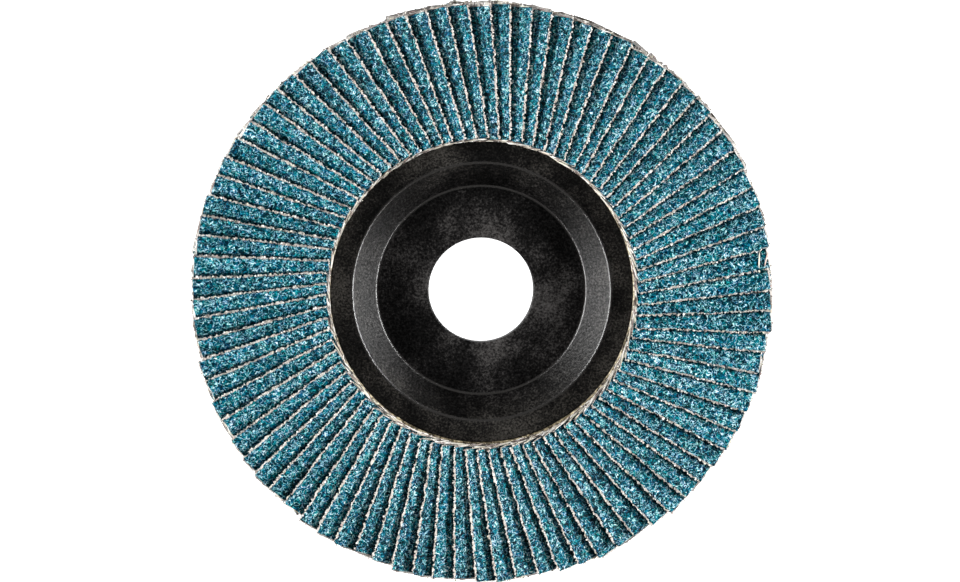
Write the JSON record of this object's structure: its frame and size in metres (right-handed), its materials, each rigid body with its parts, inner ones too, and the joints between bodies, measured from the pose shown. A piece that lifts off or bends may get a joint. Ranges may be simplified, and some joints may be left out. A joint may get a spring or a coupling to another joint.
{
  "type": "flap disc",
  "caption": "Depressed-centre abrasive disc with overlapping coated-cloth flaps bonded round a moulded plate, for grinding and blending metal on an angle grinder.",
  "frame": {"origin": "centre of the bore at the hub's back face", "axes": "+Z along the spindle axis, from the hub's back towards the abrasive side; +Y along the free edge of the first flap, at twelve o'clock"},
  "size_m": [0.1222, 0.1222, 0.0136],
  "materials": {
    "moulded_nylon": "satin",
    "cured_epoxy": "satin",
    "abrasive_cloth": "matte"
  },
  "bodies": {
    "root": {"backing_plate": "moulded_nylon", "epoxy_bed": "cured_epoxy", "flap_pair_01": "abrasive_cloth", "flap_pair_02": "abrasive_cloth", "flap_pair_03": "abrasive_cloth", "flap_pair_04": "abrasive_cloth", "flap_pair_05": "abrasive_cloth", "flap_pair_06": "abrasive_cloth", "flap_pair_07": "abrasive_cloth", "flap_pair_08": "abrasive_cloth", "flap_pair_09": "abrasive_cloth", "flap_pair_10": "abrasive_cloth", "flap_pair_11": "abrasive_cloth", "flap_pair_12": "abrasive_cloth", "flap_pair_13": "abrasive_cloth", "flap_pair_14": "abrasive_cloth", "flap_pair_15": "abrasive_cloth", "flap_pair_16": "abrasive_cloth", "flap_pair_17": "abrasive_cloth", "flap_pair_18": "abrasive_cloth", "flap_pair_19": "abrasive_cloth", "flap_pair_20": "abrasive_cloth", "flap_pair_21": "abrasive_cloth", "flap_pair_22": "abrasive_cloth", "flap_pair_23": "abrasive_cloth", "flap_pair_24": "abrasive_cloth", "flap_pair_25": "abrasive_cloth", "flap_pair_26": "abrasive_cloth", "flap_pair_27": "abrasive_cloth", "flap_pair_28": "abrasive_cloth", "flap_pair_29": "abrasive_cloth", "flap_pair_30": "abrasive_cloth", "flap_pair_31": "abrasive_cloth", "flap_pair_32": "abrasive_cloth", "flap_pair_33": "abrasive_cloth", "flap_pair_34": "abrasive_cloth", "flap_pair_35": "abrasive_cloth", "flap_pair_36": "abrasive_cloth", "flap_pair_37": "abrasive_cloth", "flap_pair_38": "abrasive_cloth", "flap_pair_39": "abrasive_cloth", "flap_pair_40": "abrasive_cloth", "flap_pair_41": "abrasive_cloth", "flap_pair_42": "abrasive_cloth", "flap_pair_43": "abrasive_cloth"}
  },
  "joints": []
}
